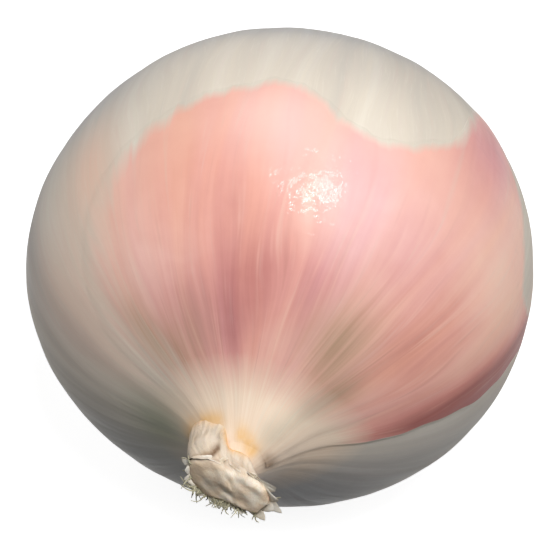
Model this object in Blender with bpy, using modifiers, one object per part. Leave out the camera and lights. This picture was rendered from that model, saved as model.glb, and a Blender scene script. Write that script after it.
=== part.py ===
"""A pink onion lying on its side, its dry neck towards -Y and its roots towards +Y.

The bulb's axis is level. A place on the onion is given by the angle round that axis, 0 at the top
and growing towards +X, and by the latitude, 90 degrees at the neck and -90 at the roots.
"""

import math
import random

import bmesh
import bpy
from mathutils import Matrix, Vector

# Driving dimensions, in metres
BULB_RADIUS = 0.0375
NECK_SIDE = 0.0335  # from the widest ring to the shoulder, before the throat rises
ROOT_SIDE = 0.0320  # from the widest ring to the root end
AXIS_HEIGHT = 0.0370  # axis above the surface: the bulb is flattened where it lies
THROAT_RISE = 0.0030
THROAT_WIDTH = 0.0080
ROOT_DIMPLE = 0.0016
ROOT_DIMPLE_WIDTH = 0.0060
NECK_FOOT = 0.0335  # rise of the neck's foot
RIB_DEPTH = 0.00010
GAP = 0.0003  # left between pieces that touch
SKIN_THICKNESS = 0.0006
NECK_LENGTH = 0.0104
NECK_LEAN = 0.0014  # to -X at the waist
PLATE_RADIUS = 0.0062
FRAY_COUNT = 28
ROOT_COUNT = 44
ROOT_WIDTH = 0.0010
ROOT_LENGTHS = (0.0030, 0.0050)

# Mesh fineness
MERGE_DISTANCE = 0.000001
BULB_SEGMENTS = 108
BULB_RINGS = 24
NECK_SEGMENTS = 36
PLATE_SEGMENTS = 24
SKIN_ROWS = 13
SHEATH_COLUMNS = 12
SHEATH_ROWS = 6

# The pink skin's torn edge: angle round the axis, then the latitude that it reaches down to
SKIN_EDGE = [
    (-58, 52),
    (-54, 42),
    (-49, 33),
    (-43, 24),
    (-36, 18.5),
    (-25, 11),
    (-17, 6),
    (-7, 4),
    (-1, 2),
    (8, 5),
    (15, 10.5),
    (22, 13),
    (29, 11),
    (35, 6),
    (40, 0),
    (44, -15),
    (51, -26),
    (58, -19),
    (64, -9),
    (70, 1),
    (78, 10),
    (86, 9),
    (92, 7),
    (96, 12),
]
SKIN_TOP_LATITUDE = 75

COLOURS = {
    "bulb": ((0.66, 0.63, 0.54), 0.35),
    "pink_skin": ((0.80, 0.42, 0.36), 0.32),
    "neck": ((0.74, 0.60, 0.42), 0.75),
    "root_plate": ((0.50, 0.36, 0.22), 0.85),
}


def clear_scene():
    for old in list(bpy.data.objects):
        bpy.data.objects.remove(old, do_unlink=True)


def make_collection(name):
    collection = bpy.data.collections.new(name)
    bpy.context.scene.collection.children.link(collection)
    return collection


def make_material(name):
    colour, roughness = COLOURS[name]
    material = bpy.data.materials.new(name)
    material.use_nodes = True
    shader = material.node_tree.nodes["Principled BSDF"]
    shader.inputs["Base Color"].default_value = (*colour, 1)
    shader.inputs["Roughness"].default_value = roughness
    shader.inputs["Metallic"].default_value = 0
    return material


def add_object(name, mesh, collection):
    made = bpy.data.objects.new(name, mesh)
    collection.objects.link(made)
    return made


def mesh_from(build):
    """The mesh that `build` makes in a new bmesh."""
    shape = bmesh.new()
    build(shape)
    mesh = bpy.data.meshes.new("shape")
    shape.to_mesh(mesh)
    shape.free()
    return mesh


def baked(source, name, collection):
    """A mesh object of `source` with its modifiers applied. The source is removed."""
    bpy.context.view_layer.update()
    seen = source.evaluated_get(bpy.context.evaluated_depsgraph_get())
    mesh = bpy.data.meshes.new_from_object(seen)
    mesh.transform(source.matrix_world)
    bpy.data.objects.remove(source)
    return add_object(name, mesh, collection)


def place(angle, radius, rise):
    """The point at `angle` round the axis, `radius` from it and `rise` towards the neck."""
    return Vector(
        (radius * math.sin(angle), -rise, AXIS_HEIGHT + radius * math.cos(angle))
    )


def interpolate(points, x):
    """A smooth value at x through (x, y) points, level at the first and the last."""
    if x <= points[0][0]:
        return points[0][1]
    for (x0, y0), (x1, y1) in zip(points, points[1:]):
        if x <= x1:
            share = (x - x0) / (x1 - x0)
            return y0 + (y1 - y0) * share * share * (3 - 2 * share)
    return points[-1][1]


def lobes(angle, latitude):
    """The bulb's departure from round, as a share of its radius."""
    oval = 0.017 * math.cos(2 * (angle - math.radians(42)))
    three_sided = 0.011 * math.cos(3 * angle - 1.13)
    uneven = 0.003 * math.cos(5 * angle + 2.1)
    droop = -0.0054 * math.cos(angle) * (1 - math.sin(latitude))
    return math.cos(latitude) ** 2 * (oval + three_sided + uneven + droop)


def ribs(angle, latitude):
    """Low ridges over the veins, which run from the neck to the roots."""
    wide_veins = math.cos(20 * angle + 0.7 * math.sin(3 * angle))
    fine_veins = 0.6 * math.cos(31 * angle + 1.9)
    return RIB_DEPTH * (wide_veins + fine_veins) * math.cos(latitude) ** 0.5


def bulb_point(angle, latitude, lift=0.0):
    """The bulb's surface, or a surface lifted off it."""
    side = NECK_SIDE if latitude > 0 else ROOT_SIDE
    normal = Vector(
        (math.cos(latitude) / BULB_RADIUS, math.sin(latitude) / side)
    ).normalized()
    radius = BULB_RADIUS * max(0.0, math.cos(latitude)) * (1 + lobes(angle, latitude))
    rise = side * math.sin(latitude)
    if latitude > 0:
        rise += THROAT_RISE * math.exp(-((radius / THROAT_WIDTH) ** 2))
    else:
        rise += ROOT_DIMPLE * math.exp(-((radius / ROOT_DIMPLE_WIDTH) ** 2))
    lift += ribs(angle, latitude)
    return place(angle, max(0.0, radius + lift * normal.x), rise + lift * normal.y)


def bulb_mesh(lift=0.0):
    """A sphere drawn out to the bulb's surface, with its poles on the bulb's axis."""

    def build(shape):
        bmesh.ops.create_uvsphere(
            shape, u_segments=BULB_SEGMENTS, v_segments=BULB_RINGS, radius=1
        )
        for vertex in shape.verts:
            x, y, z = vertex.co
            even = math.asin(max(-1.0, min(1.0, z)))
            latitude = even + 0.15 * math.sin(2 * even)  # closer rings at both ends
            vertex.co = bulb_point(math.atan2(x, y), latitude, lift)

    return mesh_from(build)


def flatten_underside(mesh):
    """Cuts the bulb level at the surface that it lies on."""
    shape = bmesh.new()
    shape.from_mesh(mesh)
    cut = bmesh.ops.bisect_plane(
        shape,
        geom=shape.verts[:] + shape.edges[:] + shape.faces[:],
        plane_co=(0, 0, 0),
        plane_no=(0, 0, -1),
        clear_outer=True,
    )
    rim = [item for item in cut["geom_cut"] if isinstance(item, bmesh.types.BMEdge)]
    flat_spot = bmesh.ops.edgeloop_fill(shape, edges=rim)["faces"]
    shape.normal_update()
    for face in flat_spot:
        if face.normal.z > 0:
            face.normal_flip()
    bmesh.ops.dissolve_degenerate(shape, dist=MERGE_DISTANCE, edges=shape.edges[:])
    shape.to_mesh(mesh)
    shape.free()


def make_bulb(collection):
    mesh = bulb_mesh()
    flatten_underside(mesh)
    return add_object("bulb", mesh, collection)


def make_skin(collection):
    """The thin pink skin that still clings to the bulb, from beside the neck to its torn edge."""
    first, last = SKIN_EDGE[0][0], SKIN_EDGE[-1][0]
    step = 360 / BULB_SEGMENTS
    columns = round((last - first) / step)

    def build(shape):
        bmesh.ops.create_grid(
            shape, x_segments=columns, y_segments=SKIN_ROWS, size=0.5
        )
        for vertex in shape.verts:
            degrees = first + (last - first) * (vertex.co.x + 0.5)
            edge = interpolate(SKIN_EDGE, degrees)
            latitude = edge + (SKIN_TOP_LATITUDE - edge) * (vertex.co.y + 0.5)
            vertex.co = bulb_point(math.radians(degrees), math.radians(latitude), GAP)

    sheet = add_object("skin_sheet", mesh_from(build), collection)
    outward = sheet.data.polygons[0].center - Vector((0, 0, AXIS_HEIGHT))
    if sheet.data.polygons[0].normal.dot(outward) < 0:
        sheet.data.flip_normals()
    thicken = sheet.modifiers.new("thickness", "SOLIDIFY")
    thicken.thickness = SKIN_THICKNESS
    thicken.offset = 1
    return baked(sheet, "pink_skin", collection)


def turned(name, profile, segments, collection):
    """A round solid from (radius, height) points that run from its top to its bottom, about Z."""

    def build(shape):
        points = [shape.verts.new((radius, 0, height)) for radius, height in profile]
        for pair in zip(points, points[1:]):
            shape.edges.new(pair)

    outline = add_object(name + "_outline", mesh_from(build), collection)
    screw = outline.modifiers.new("turn", "SCREW")
    screw.steps = segments
    screw.render_steps = segments
    screw.use_merge_vertices = True
    screw.merge_threshold = 0.00001
    return baked(outline, name, collection)


def neck_point(angle, radius, height):
    """A place on the neck, `height` above its foot: pleated, and flatter towards its tip."""
    share = max(0.0, min(1.0, height / NECK_LENGTH))
    flatness = 1 + 0.20 * share * math.cos(2 * (angle - math.radians(97)))
    pleats = 0.05 * math.cos(7 * angle + 2.5 * share) + 0.035 * math.cos(11 * angle)
    radius *= flatness * (1 + pleats)
    aside = -NECK_LEAN * math.sin(math.pi * share)
    slant = share**3 * radius * (0.28 * math.sin(angle) - 0.12 * math.cos(angle))
    return place(angle, radius, NECK_FOOT + height + slant) + Vector((aside, 0, 0))


# Height above the neck's foot, then half the neck's width
NECK_WIDTHS = [
    (-0.0050, 0.0098),
    (-0.0015, 0.0092),
    (0.0000, 0.0082),
    (0.0015, 0.0067),
    (0.0040, 0.0055),
    (0.0064, 0.0050),
    (0.0084, 0.0054),
    (0.0098, 0.0059),
]
NECK_END = [(0.0, 0.0107), (0.0028, 0.0107), (0.0048, 0.0104)]

# Torn dry sheaths round the neck: first and last angle, height of the torn rim, how far it stands off
SHEATHS = [
    (3, 121, 0.0044, 0.0018),
    (-150, -24, 0.0062, 0.0012),
    (-32, 15, 0.0094, 0.0009),
    (104, 224, 0.0070, 0.0010),
]


def make_stub(collection):
    sides = [(width, height) for height, width in reversed(NECK_WIDTHS)]
    foot = [(0.0, NECK_WIDTHS[0][0])]
    stub = turned("neck_stub", NECK_END + sides + foot, NECK_SEGMENTS, collection)
    for vertex in stub.data.vertices:
        x, y, height = vertex.co
        vertex.co = neck_point(math.atan2(x, y), math.hypot(x, y), height)
    return stub


def make_sheath(index, collection, chance):
    first, last, rim, stand_off = SHEATHS[index]
    phase = chance.uniform(0, math.tau)

    def build(shape):
        bmesh.ops.create_grid(
            shape, x_segments=SHEATH_COLUMNS, y_segments=SHEATH_ROWS, size=0.5
        )
        for vertex in shape.verts:
            across, along = vertex.co.x + 0.5, vertex.co.y + 0.5
            angle = math.radians(first + (last - first) * across)
            torn = 0.0005 * math.sin(6 * angle + phase)
            height = -0.0010 + (rim + 0.0010 + torn) * along
            width = interpolate(NECK_WIDTHS, height)
            bulge = stand_off * math.sin(math.pi * across) ** 0.5 * along
            vertex.co = neck_point(angle, width - 0.0004 + bulge, height)

    sheet = add_object("sheath_sheet", mesh_from(build), collection)
    middle = sheet.data.polygons[len(sheet.data.polygons) // 2]
    if middle.normal.dot(middle.center - Vector((0, middle.center.y, AXIS_HEIGHT))) < 0:
        sheet.data.flip_normals()
    backing = sheet.modifiers.new("backing", "SOLIDIFY")
    backing.thickness = stand_off + 0.0014  # into the stub, so that no pocket is sealed
    backing.offset = -1
    return baked(sheet, f"sheath_{index}", collection)


def make_spike(name, base, direction, length, width, collection):
    """A thin four-sided cone that starts at `base`."""

    def build(shape):
        bmesh.ops.create_cone(
            shape,
            cap_ends=True,
            segments=4,
            radius1=width / 2,
            radius2=width / 6,
            depth=length,
        )

    spike = add_object(name, mesh_from(build), collection)
    turn = direction.to_track_quat("Z", "Y").to_matrix().to_4x4()
    middle = base + direction.normalized() * (length / 2)
    spike.data.transform(Matrix.Translation(middle) @ turn)
    return spike


def make_frays(collection, chance):
    """Frayed shreds round the cut end of the neck, longest underneath."""
    for index in range(FRAY_COUNT):
        angle = math.tau * (index + chance.uniform(-0.4, 0.4)) / FRAY_COUNT
        root = neck_point(angle, 0.0046, 0.0088)
        longer = 0.0006 * (1 - math.cos(angle))
        reach = neck_point(angle, 0.0060, chance.uniform(0.0088, 0.0108)) - root
        length = reach.length + longer + chance.uniform(0.0, 0.0008)
        width = chance.uniform(0.0012, 0.0024)
        make_spike(f"fray_{index}", root, reach, length, width, collection)


def union_of(pieces_collection, body, name, collection):
    """One solid of `body` and everything in the collection, whose objects are then removed."""
    join = body.modifiers.new("join", "BOOLEAN")
    join.operation = "UNION"
    join.operand_type = "COLLECTION"
    join.collection = pieces_collection
    join.solver = "EXACT"
    joined = baked(body, name, collection)
    for piece in list(pieces_collection.objects):
        bpy.data.objects.remove(piece)
    return joined


def cut_to_bulb(piece, name, collection):
    """Cuts away what would lie inside the bulb, leaving the gap between the two."""
    cutter = add_object("bulb_cutter", bulb_mesh(GAP), collection)
    cutter.hide_render = True
    cutter.display_type = "WIRE"
    cut = piece.modifiers.new("seat", "BOOLEAN")
    cut.operation = "DIFFERENCE"
    cut.object = cutter
    cut.solver = "EXACT"
    seated = baked(piece, name, collection)
    bpy.data.objects.remove(cutter)
    return seated


def make_neck(collection, workshop, chance):
    """The dry neck: a pleated stub in torn sheaths, frayed at its cut end."""
    stub = make_stub(collection)
    for index in range(len(SHEATHS)):
        make_sheath(index, workshop, chance)
    make_frays(workshop, chance)
    whole = union_of(workshop, stub, "neck_whole", collection)
    return cut_to_bulb(whole, "neck", collection)


def root_end_point(radius, angle, height):
    """A place at the root end, `height` out from the bulb's dimple."""
    return place(angle, radius, -(ROOT_SIDE - ROOT_DIMPLE + height))


def make_root_plate(collection, workshop, chance):
    """The corky root plate with its dried, trimmed roots."""
    profile = [
        (0.0, 0.0026),
        (0.0030, 0.0024),
        (0.0050, 0.0017),
        (PLATE_RADIUS, 0.0006),
        (PLATE_RADIUS * 0.9, -0.0015),
        (0.0, -0.0020),
    ]
    plate = turned("plate", profile, PLATE_SEGMENTS, collection)
    for vertex in plate.data.vertices:
        x, y, height = vertex.co
        angle, radius = math.atan2(x, y), math.hypot(x, y)
        radius *= 1 + 0.06 * math.cos(5 * angle + 1) + 0.04 * math.cos(9 * angle)
        vertex.co = root_end_point(radius, angle, height)
    plate.data.flip_normals()
    golden = math.pi * (3 - math.sqrt(5))
    for index in range(ROOT_COUNT):
        radius = PLATE_RADIUS * 0.86 * math.sqrt((index + 0.5) / ROOT_COUNT)
        angle = index * golden + chance.uniform(-0.2, 0.2)
        base = root_end_point(radius, angle, 0.0001)
        lean = 1.2 * radius / PLATE_RADIUS + chance.uniform(-0.3, 0.3)
        aside = chance.uniform(-0.3, 0.3)
        outward = Vector(
            (
                lean * math.sin(angle) + aside * math.cos(angle),
                1,
                lean * math.cos(angle) - aside * math.sin(angle),
            )
        )
        length = chance.uniform(*ROOT_LENGTHS)
        make_spike(f"root_{index}", base, outward, length, ROOT_WIDTH, workshop)
    whole = union_of(workshop, plate, "plate_whole", collection)
    return cut_to_bulb(whole, "root_plate", collection)


def finish(made):
    """Gives a piece its material and shades it smooth except at sharp edges."""
    made.data.name = made.name
    made.data.materials.clear()
    made.data.materials.append(make_material(made.name))
    made.data.shade_smooth()
    made.data.set_sharp_from_angle(angle=math.radians(40))


def main():
    clear_scene()
    chance = random.Random(7)
    onion = make_collection("onion")
    workshop = make_collection("workshop")
    pieces = [
        make_bulb(onion),
        make_skin(onion),
        make_neck(onion, workshop, chance),
        make_root_plate(onion, workshop, chance),
    ]
    for made in pieces:
        finish(made)
    bpy.data.collections.remove(workshop)


main()
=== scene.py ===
"""The looks of a pink onion that lies on its side, its dry neck towards -Y and its roots towards +Y.

The bulb's axis is level. A place on the onion is given by the angle round that axis, 0 at the top
and growing towards +X, and by the latitude, 90 degrees at the neck and -90 at the roots. Lengths
are in metres. Angles are in degrees in the tables of values and in radians in the functions.
"""

import math
import random

import bmesh
import bpy
import numpy as np
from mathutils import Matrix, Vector


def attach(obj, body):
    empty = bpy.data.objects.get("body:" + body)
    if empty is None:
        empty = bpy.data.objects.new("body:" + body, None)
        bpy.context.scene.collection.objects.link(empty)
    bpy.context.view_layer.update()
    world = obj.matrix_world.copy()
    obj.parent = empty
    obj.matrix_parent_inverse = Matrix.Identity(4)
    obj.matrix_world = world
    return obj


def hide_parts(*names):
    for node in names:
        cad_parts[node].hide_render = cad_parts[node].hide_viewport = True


# The bulb's dimensions, the same as in the solids
BULB_RADIUS = 0.0375
NECK_SIDE = 0.0335
ROOT_SIDE = 0.0320
AXIS_HEIGHT = 0.0370
THROAT_RISE = 0.0030
THROAT_WIDTH = 0.0080
ROOT_DIMPLE = 0.0016
ROOT_DIMPLE_WIDTH = 0.0060

# The visible surface's own relief: veins, and soft folds in a ring round the neck
RIB_DEPTH = 0.00003
VEIN_DEPTH = 0.000006
FOLD_DEPTH = 0.000024
FOLD_RADIUS = 0.0075
FOLD_WIDTH = 0.0055

# The rise of the leaf into the neck, as the height and the width of each fillet
NECK_FILLETS = [(0.0022, 0.0062), (0.0020, 0.0049)]

# The swelling of the leaf on the right of the neck's foot
DOME_ANGLE = 50
DOME_HALF_ANGLE = 36
DOME_RADIUS = 0.0066
DOME_WIDTH = 0.0024
DOME_RISE = 0.0009

# How gently the flesh turns level where it lies on the surface
REST_SOFTNESS = 0.0002

# The meshes' fineness, and the angle from which the edge between two faces looks sharp
BULB_SEGMENTS = 432
BULB_RINGS = 200
RING_CROWDING = 0.10
SKIN_COLUMNS = 300
SKIN_ROWS = 140
NECK_SEGMENTS = 300
NECK_ROWS = 180
COLLAR_ROWS = 12
TOOTH_ROWS = 9
TOOTH_COLUMNS = 7
CURL_POINTS = 9
FIBRE_SIDES = 6
ROOT_SIDES = 7
PLATE_SEGMENTS = 160
PLATE_ROWS = 60
SHARP_ANGLE = 50

# The pink skin: it clings to the flesh, and the outer share of its fading edge sinks into it
SKIN_CLEARANCE = 0.00002
SKIN_THICKNESS = 0.00012
SKIN_EDGE_THICKNESS = 0.00003
SKIN_TOP_LATITUDE = 84
EDGE_BURIAL = 0.00008
BURIED_SHARE = 0.3

# Its crisp right edge wavers, and curls off the flesh a little from a latitude on
EDGE_CURL = 0.00009
EDGE_CURL_WIDTH = 0.0016
CURL_LATITUDE = 8
CURL_FADE = 6
EDGE_WAVE_WIDTH = 8

# The skin's torn edge: angle, the latitude that it reaches down to, and how wide it fades
SKIN_EDGE = [
    (-66, 54, 0.0090),
    (-61, 42, 0.0085),
    (-55, 32, 0.0075),
    (-48, 23, 0.0060),
    (-38, 15, 0.0046),
    (-26, 8.5, 0.0034),
    (-17, 5, 0.0024),
    (-7, 3, 0.0022),
    (-1, 1, 0.0022),
    (8, 4, 0.0022),
    (15, 9.5, 0.0021),
    (22, 12, 0.0020),
    (29, 10, 0.0020),
    (35, 5, 0.0021),
    (40, -1, 0.0022),
    (44, -16, 0.0024),
    (51, -27, 0.0026),
    (58, -20, 0.0026),
    (64, -10, 0.0024),
    (70, 0, 0.0024),
    (78, 9, 0.0022),
    (86, 8, 0.0016),
    (92, 7, 0.0008),
    (96, 12, 0.0002),
]
LEFT_FADE = 0.0090
RIGHT_FADE = 0.0002
TOP_FADE = 0.0008

# How strongly the flesh and the skin reflect, and the skin's extra gloss
LEAF_GLOSS = 0.26
SKIN_COAT = 0.24
SKIN_COAT_ROUGHNESS = 0.10

# How deep the relief is that the materials add
VEIN_BUMP = 0.000015
FINE_BUMP = 0.00006
GRAIN_BUMP = 0.00008
CORK_BUMP = 0.00025
COAT_BUMP = 0.00050

# Pigment in the pink skin: angle, latitude, the patch's half widths in both, how much more
# pigment it holds and how much cooler its pink is
PIGMENT = 0.56
COOLNESS = 0.30
PIGMENT_PATCHES = [
    (-48, 16, 12, 20, -0.24, -0.20),
    (-36, 48, 12, 12, -0.08, 0.10),
    (-20, 22, 16, 22, 0.05, -0.25),
    (-8, 32, 13, 13, 0.19, 0.00),
    (3, 48, 13, 11, 0.24, 0.10),
    (22, 40, 10, 10, -0.06, 0.00),
    (-3, 56, 12, 11, 0.24, 0.20),
    (-6, 64, 7, 8, 0.18, 0.25),
    (-24, 60, 14, 12, 0.19, 0.45),
    (1, 15, 11, 12, -0.17, 0.40),
    (20, 24, 13, 15, -0.06, 0.40),
    (36, 34, 15, 14, 0.06, 0.50),
    (20, 50, 9, 10, 0.14, 0.35),
    (62, 48, 13, 14, 0.27, -0.25),
    (68, 20, 12, 11, -0.20, -0.25),
    (68, 2, 11, 8, -0.14, -0.20),
    (80, 26, 6, 20, -0.04, -0.25),
    (93, 40, 8, 25, 0.90, -0.05),
    (95, 14, 7, 14, 0.90, -0.20),
    (50, -6, 10, 14, 0.20, 0.70),
]

# The skin's warm and cool pinks, from little pigment to much: amount, red, green and blue
WARM_PINK = [
    (0.05, 244, 226, 206),
    (0.18, 252, 218, 196),
    (0.34, 250, 197, 175),
    (0.50, 236, 170, 150),
    (0.68, 210, 138, 124),
    (0.90, 160, 88, 78),
]
COOL_PINK = [
    (0.05, 240, 224, 212),
    (0.18, 246, 214, 207),
    (0.34, 242, 193, 190),
    (0.50, 226, 162, 162),
    (0.68, 198, 132, 133),
    (0.90, 150, 88, 90),
]

# Its pale and dark lines: how fine, the noise where they begin and are full, how strong, colour
SKIN_LINES = [
    (33, 0.60, 0.74, 0.34, (252, 212, 192)),
    (27, 0.38, 0.26, 0.30, (186, 120, 110)),
]

# The neck's dry leaf, from its darker streaks to its paler ones, in the same terms
DRY_LEAF = [
    (0.25, 198, 179, 156),
    (0.45, 216, 200, 180),
    (0.65, 222, 209, 192),
    (0.85, 236, 228, 217),
]

# Streaks along the skin: how short, and how strong from a latitude on, more so round one angle
STREAK_SHORTNESS = 0.07
STREAKY_LATITUDE = 12
STREAKY_SPAN = 46
STREAK_STRENGTHS = (0.1, 0.75)
STREAKIER_ANGLE = 58
STREAKIER_HALF_ANGLE = 26
STREAKIER_SHARE = 0.3

# Where the skin is drier, and browner for it: angle, latitude, half widths in both, amount
DRY_PATCHES = [
    (-40, 66, 20, 8, 0.70),
    (-48, 56, 9, 9, 0.60),
    (-23, 58, 9, 8, 0.30),
    (38, 58, 15, 9, 0.85),
    (56, 67, 14, 6, 0.80),
]

# Tints of the pale flesh: angle, latitude, half widths in both, and how strong the tint is
# Painted shade: a greyish blue that darkens the flesh where it turns from the lamps, at its rims, along the
# top towards the roots and underneath
PAINTED_SHADE_PATCHES = [
    (-124, 50, 20, 30, 0.35),
    (-72, 48, 12, 10, 0.14),
    (112, 32, 22, 40, 0.32),
    (150, 62, 34, 26, 0.70),
    (-150, 62, 40, 26, 0.50),
    (50, -38, 20, 14, 0.20),
    (15, -10, 24, 12, 0.17),
    (0, -30, 46, 11, 0.60),
    (-56, -16, 24, 18, 0.60),
    (-80, 14, 12, 30, 0.40),
]
# Painted shade in a greyish green, round the neck's foot and on the underside at the left
GREEN_SHADE_PATCHES = [
    (-96, 72, 26, 9, 0.80),
    (-130, 60, 40, 20, 0.25),
    (56, 73, 12, 5, 0.35),
    (42, 80, 20, 3.5, 0.32),
]
BLUSH_PATCHES = [
    (-66, 44, 18, 26, 0.42),
    (-47, 16, 9, 14, 0.55),
    (96, 2, 10, 18, 0.40),
]

# Where the leaf is amber along the creases at the neck's foot, in the same terms
AMBER_PATCHES = [
    (-78, 79.0, 20, 1.8, 0.75),
    (-50, 79.6, 18, 1.4, 0.85),
    (-28, 80.6, 12, 1.4, 0.60),
    (0, 82.4, 10, 1.6, 0.80),
    (16, 83.6, 12, 1.6, 0.90),
    (34, 84.2, 14, 1.6, 0.80),
]

# Where it is dark brown, in the deepest crease: partly the leaf's brown and partly painted shade in the
# crease
BROWN_AND_SHADE_PATCHES = [
    (70, 83.6, 16, 1.2, 0.70),
    (92, 83.2, 16, 1.3, 0.90),
    (-104, 80.0, 16, 2.0, 0.60),
]

# The leaf is cream round the neck, above a latitude that dips at the right
CREAM_LATITUDE = 72
CREAM_WIDTH = 10
CREAM_DIP = 6
CREAM_DIP_ANGLE = 92
CREAM_DIP_HALF_ANGLE = 24

# The neck: it bows aside on the way to its end, which is flatter and trimmed on a slant
NECK_FOOT = 0.0335
NECK_LENGTH = 0.0104
NECK_LEAN = 0.0020
NECK_LIFT = 0.0007
NECK_FLATNESS = 0.33
END_WIDE_ANGLE = 97
END_SLANT_UP = 0.12
END_SLANT_SIDE = 0.24

# The radius at which widths round the neck are measured, and the one below which its folds fade
NECK_MIDDLE_RADIUS = 0.0058
NECK_FULL_RADIUS = 0.0045

# The neck's profile: radius and height above the foot, up its side and on to the end's middle
NECK_SIDE_POINTS = 10
NECK_PROFILE = [
    (0.0098, -0.0050),
    (0.0092, -0.0015),
    (0.0081, 0.0000),
    (0.0065, 0.0014),
    (0.0053, 0.0030),
    (0.0045, 0.0048),
    (0.0040, 0.0066),
    (0.0040, 0.0080),
    (0.0043, 0.0090),
    (0.0043, 0.0097),
    (0.0039, 0.0102),
    (0.0031, 0.0105),
    (0.0017, 0.0106),
    (0.0003, 0.0106),
]

# Folds of dry leaf round the neck: angle, height, half widths in both, and how far they swell
NECK_LUMPS = [
    (-34, 0.0058, 30, 0.0016, 0.0010),
    (-12, 0.0036, 12, 0.0009, 0.0004),
    (112, 0.0036, 24, 0.0022, 0.0003),
    (160, 0.0036, 34, 0.0022, 0.0006),
    (-140, 0.0040, 26, 0.0024, 0.0006),
]

# Creases between the folds, as paths of angle and height, with depth, width and orange tint; the rest of
# each crease is dark brown, partly the leaf's brown and partly painted shade
NECK_CREASES = [
    ([(-108, 0.0024), (-88, 0.0014), (-62, 0.0010), (-38, 0.0012), (-26, 0.0018)], 0.0006, 0.0005, 0.8),
    (
        [(4, 0.0028), (7, 0.0038), (14, 0.0048), (26, 0.0051), (44, 0.0050), (62, 0.0048)],
        0.0008,
        0.0005,
        1.0,
    ),
    ([(62, 0.0048), (78, 0.0056), (92, 0.0061), (110, 0.0056)], 0.0011, 0.0007, 0.0),
    ([(-100, 0.0078), (-60, 0.0077), (-30, 0.0074), (-10, 0.0060)], 0.0005, 0.0005, 0.1),
    ([(110, 0.0056), (140, 0.0058), (170, 0.0058), (200, 0.0060)], 0.0005, 0.0008, 0.2),
]
NECK_RIDGES = [
    ([(-4, 0.0046), (10, 0.0062), (22, 0.0076), (36, 0.0090)], 0.0006, 0.0007),
    ([(58, 0.0062), (70, 0.0074), (76, 0.0088)], 0.0003, 0.0006),
    ([(-70, 0.0084), (-40, 0.0090), (-10, 0.0088)], 0.0003, 0.0006),
]

# The leathery end, in heights above the neck's foot: where its dents and its colour set in
DENTS_START = 0.0098
DENTS_RISE = 0.0006
DENTS_RADIUS = 0.0055
PAD_START = 0.0088
PAD_RISE = 0.0012
PAD_STRENGTH = 0.8

# How strong the painted shade on the end is in its middle and at most, and how slowly it grows towards the
# left
PAD_SHADE_LEVELS = (0.1, 0.6)
PAD_SHADE_REACH = 0.008

# Where the cream of the neck's foot ends, and how fine and how short the neck's streaks are
FOOT_END = 0.0036
FOOT_FADE = 0.0022
NECK_FINENESS = 200
NECK_SHORTNESS = 30

# Torn sheets of dry leaf that wrap the neck: first and last angle, the heights where they are
# rooted and where they end, and how far their free edge stands off
COLLARS = [
    (-122, 14, 0.0064, 0.0094, 0.00050),
    (10, 66, 0.0074, 0.0096, 0.00030),
    (116, 236, 0.0046, 0.0090, 0.00060),
]
COLLAR_THICKNESS = 0.00007
COLLAR_FLARE = 0.00025
COLLAR_BURIAL = 0.0002

# Torn papery teeth round the end: angle, the height where they start, length and width
TOOTH_FOOT_RADIUS = 0.0042
TOOTH_MIDDLE_RADIUS = 0.0045
TOOTH_FLARE = 0.0004
TOOTH_HOLLOW = 0.00012
TEETH = [
    (56, 0.0084, 0.0011, 0.0022),
    (66, 0.0088, 0.0016, 0.0024),
    (77, 0.0090, 0.0013, 0.0018),
    (86, 0.0092, 0.0018, 0.0022),
    (98, 0.0093, 0.0013, 0.0020),
    (110, 0.0094, 0.0010, 0.0022),
    (-74, 0.0088, 0.0009, 0.0014),
    (-84, 0.0090, 0.0014, 0.0016),
    (-95, 0.0092, 0.0011, 0.0013),
    (-106, 0.0093, 0.0014, 0.0015),
    (132, 0.0094, 0.0011, 0.0022),
    (156, 0.0094, 0.0013, 0.0020),
    (178, 0.0094, 0.0010, 0.0018),
    (-160, 0.0094, 0.0014, 0.0022),
    (-138, 0.0093, 0.0011, 0.0018),
    (-120, 0.0093, 0.0013, 0.0018),
]

# Fine fibres round the end, most of them near one angle, which set off outward and along
FIBRE_COUNT = 130
FIBRE_ANGLE = 185
FIBRE_ANGLE_SPREAD = 42
FIBRE_FOOT_RADII = (0.0036, 0.0043)
FIBRE_FOOT_HEIGHTS = (0.0086, 0.0098)
FIBRE_WAY = (0.002, 0.0012)
FIBRE_LENGTHS = (0.0006, 0.0020)
FIBRE_RADIUS = 0.00017
FIBRE_CURL = 0.5

# The root end: a corky plate in the dimple, as radius and height from its rim to its middle
PLATE_PROFILE = [
    (0.0066, -0.0016),
    (0.0062, 0.0003),
    (0.0050, 0.0011),
    (0.0032, 0.0014),
    (0.0015, 0.0011),
    (0.0003, 0.0009),
]
KNOB_HEIGHT = 0.00012
KNOB_LEAST_RADIUS = 0.001

# Dried, trimmed roots on it, set in a spiral that spaces them evenly
ROOT_COUNT = 130
SPIRAL_TURN = 2.399963
TUFT_RADIUS = 0.0056
TUFT_EDGE_HEIGHT = 0.0004
TUFT_SWELL = 0.0009
ROOT_LENGTHS = (0.0028, 0.0050)
ROOT_RADIUS = 0.00030
ROOT_CURL = 0.45
ROOT_TRIM = 0.0353

# The photograph's view
CAMERA_AZIMUTH = 9
CAMERA_ELEVATION = 45
CAMERA_DISTANCE = 0.38
CAMERA_LENS = 165.5
CAMERA_SENSOR = 36
CAMERA_SHIFT = (-0.0035, -0.0225)

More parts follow.
